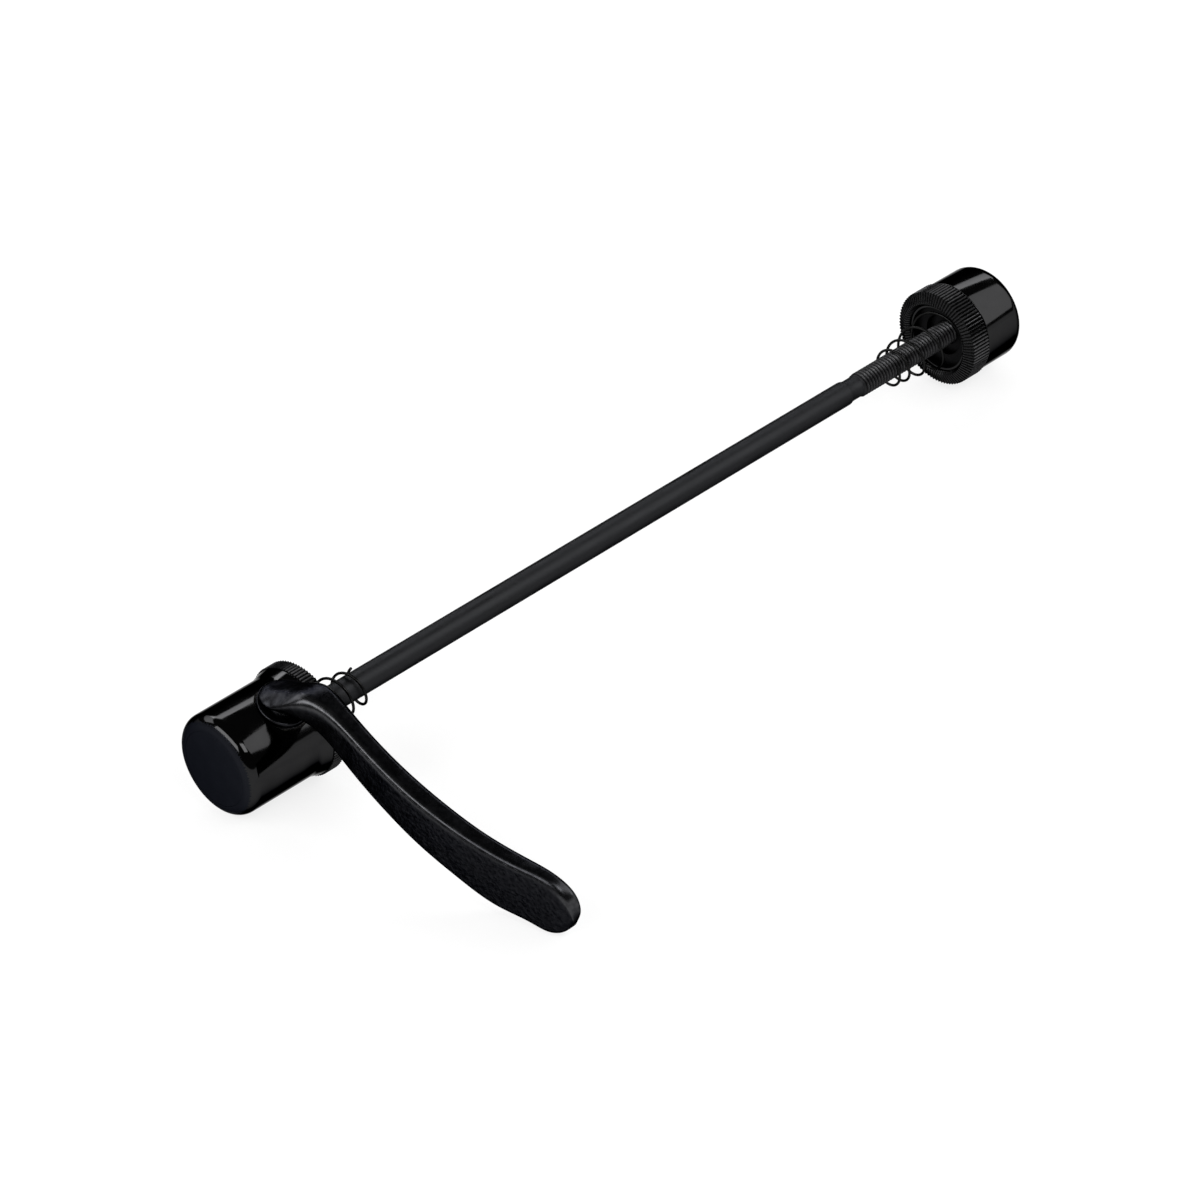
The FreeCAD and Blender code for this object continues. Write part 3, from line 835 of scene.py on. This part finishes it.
def make_nut():
    """Turned nut with true rounds, its bore, spring recess and seat for the nylon insert."""
    nut = build("nut_shell", [lathe([
        (CLAMP_GAP + SPIGOT_SETBACK, RECESS_R, EDGE_BREAK),
        (CLAMP_GAP + SPIGOT_SETBACK, NUT_SPIGOT_R, EDGE_BREAK),
        (NUT_RING_BACK, NUT_SPIGOT_R),
        (NUT_RING_BACK, GROOVE_R),
        (GROOVE_END, GROOVE_R),
        (GROOVE_END, NUT_R, EDGE_BREAK),
        (NUT_FACE, NUT_R, NUT_EDGE),
        (NUT_FACE, INSERT_MOUTH_R, EDGE_BREAK),
        (NUT_FACE - INSERT_LIP, INSERT_MOUTH_R),
        (NUT_FACE - INSERT_LIP, INSERT_R),
        (INSERT_START, INSERT_R),
        (INSERT_START, ROD_R + BORE_GAP),
        (NUT_STEP_END, ROD_R + BORE_GAP),
        (NUT_STEP_END, NUT_STEP_R),
        (NUT_RECESS_END, NUT_STEP_R, EDGE_BREAK),
        (NUT_RECESS_END, RECESS_R),
    ])])
    dress(nut, "nut_black", "nut", "nut_body")
    # Painted shade inside the spring recess
    refinish(nut, RECESS, lambda x, radius: x < NUT_STEP_END + NEAR and radius < RECESS_R + NEAR)


# Stage

FLOOR_SIZE = 6.0
FLOOR_GLOW = 0.8         # share of the floor's white that the object's shadow leaves untouched
FLOOR_GREY = 0.2         # the rest, which lamps light
PALE_SKY = 0.08          # height in the sky, as a sine, below which the world is white
DIM_SKY = 0.12           # and above which it is dim
DIM_GREY = 0.06
CENTRE = Vector((0.080, -0.010, 0.0))
CAMERA_PLACE = (-0.4835, -0.5536, 0.5759)
CAMERA_TURN = (53.106, 0, -45.255)
CAMERA_LENS = 154.67


def make_floor():
    """White floor that keeps the object's shadow, and glows only for rays that show it."""
    mesh = bpy.data.meshes.new("floor")
    half = FLOOR_SIZE / 2
    corners = [(-half, -half, 0), (half, -half, 0), (half, half, 0), (-half, half, 0)]
    mesh.from_pydata(corners, [], [(0, 1, 2, 3)])
    floor = bpy.data.objects.new("floor", mesh)
    floor.location = (CENTRE.x, CENTRE.y, cad_box[0][2])
    bpy.context.scene.collection.objects.link(floor)
    material = bpy.data.materials.new("floor_white")
    material.use_nodes = True
    tree = material.node_tree
    shader = tree.nodes["Principled BSDF"]
    shader.inputs["Base Color"].default_value = (FLOOR_GREY, FLOOR_GREY, FLOOR_GREY, 1)
    shader.inputs["Roughness"].default_value = 1.0
    shader.inputs["Specular IOR Level"].default_value = 0.0
    shader.inputs["Emission Color"].default_value = (1, 1, 1, 1)
    rays = tree.nodes.new("ShaderNodeLightPath").outputs
    seen = rays["Is Camera Ray"]
    for kind in ("Is Glossy Ray", "Is Transmission Ray"):
        seen = calculated(tree, "ADD", seen, rays[kind])
        seen.node.use_clamp = True
    tree.links.new(calculated(tree, "MULTIPLY", seen, FLOOR_GLOW), shader.inputs["Emission Strength"])
    mesh.materials.append(material)


def make_world():
    """Pale near the horizon and dim overhead, so that gloss shows the lamps between dark bands."""
    world = bpy.data.worlds.new("studio")
    bpy.context.scene.world = world
    world.use_nodes = True
    tree = world.node_tree
    background = tree.nodes["Background"]
    parts = tree.nodes.new("ShaderNodeSeparateXYZ")
    ramp = tree.nodes.new("ShaderNodeValToRGB")
    tree.links.new(tree.nodes.new("ShaderNodeTexCoord").outputs["Generated"], parts.inputs[0])
    tree.links.new(parts.outputs["Z"], ramp.inputs["Fac"])
    tree.links.new(ramp.outputs["Color"], background.inputs["Color"])
    stops = ramp.color_ramp.elements
    stops[0].position, stops[0].color = PALE_SKY, (1, 1, 1, 1)
    stops[1].position, stops[1].color = DIM_SKY, (DIM_GREY, DIM_GREY, DIM_GREY, 1)


def make_lamp(name, azimuth, elevation, distance, width, height, radiance):
    """Soft rectangular lamp that faces the object, of a brightness where 1 is white."""
    lamp = bpy.data.lights.new(name, "AREA")
    lamp.shape = "RECTANGLE"
    lamp.size = width
    lamp.size_y = height
    lamp.energy = radiance * 4 * width * height
    across, up = math.radians(azimuth), math.radians(elevation)
    direction = Vector((math.cos(across) * math.cos(up), math.sin(across) * math.cos(up), math.sin(up)))
    holder = bpy.data.objects.new(name, lamp)
    holder.location = CENTRE + direction * distance
    holder.rotation_euler = direction.to_track_quat("Z", "Y").to_euler()
    bpy.context.scene.collection.objects.link(holder)


def make_camera():
    """Camera fitted to the photo."""
    camera = bpy.data.cameras.new("camera")
    camera.lens = CAMERA_LENS
    camera.sensor_width = 36.0
    holder = bpy.data.objects.new("camera", camera)
    holder.location = CAMERA_PLACE
    holder.rotation_euler = [math.radians(angle) for angle in CAMERA_TURN]
    bpy.context.scene.collection.objects.link(holder)
    bpy.context.scene.camera = holder


make_housing()
make_end_cap()
make_lever()
make_rod()
make_spring(
    "spring_lever_side", "housing", "lever_spring",
    seat=SEAT_GAP - LEVER_RECESS, reach=LEVER_SPRING_REACH, closing=1.0, place=Matrix.Identity(4),
)
make_spring(
    "spring_nut_side", "spring_at_nut", "nut_spring",
    seat=SEAT_GAP - (NUT_RECESS_END - CLAMP_GAP), reach=NUT_SPRING_REACH, closing=NUT_SPRING_CLOSING,
    place=Matrix.Translation((CLAMP_GAP, 0, 0)) @ Matrix.Rotation(math.pi, 4, "Z"),
)
make_nut()
for node, material in (
    ("lever_grip_ring", toothed_steel("lever_ring_cut", LEVER_RING_TEETH)),
    ("nut_grip_ring", toothed_steel("nut_ring_cut", NUT_RING_TEETH)),
    ("cam_shaft", MATERIALS["shaft_steel"]),
    ("shaft_clip", MATERIALS["shaft_steel"]),
    ("lever_bush", MATERIALS["bush_brass"]),
    ("far_bush", MATERIALS["bush_brass"]),
    ("thrust_washer", MATERIALS["washer_steel"]),
    ("nut_lock_insert", MATERIALS["insert_nylon"]),
):
    for place in frame["nodes"][node].material_slots:
        place.material = material

make_floor()
make_world()
make_lamp("key", azimuth=-36, elevation=35, distance=1.1, width=1.0, height=0.95, radiance=2.0)
make_lamp("strip", azimuth=48, elevation=38, distance=1.2, width=1.3, height=0.25, radiance=6.0)
make_lamp("side", azimuth=172, elevation=38, distance=1.2, width=1.2, height=0.46, radiance=4.8)
make_lamp("front", azimuth=-98, elevation=52, distance=1.2, width=0.55, height=0.4, radiance=5.0)
make_lamp("back", azimuth=100, elevation=30, distance=1.2, width=0.9, height=0.45, radiance=3.0)
make_camera()
bpy.context.scene.view_settings.view_transform = "Standard"
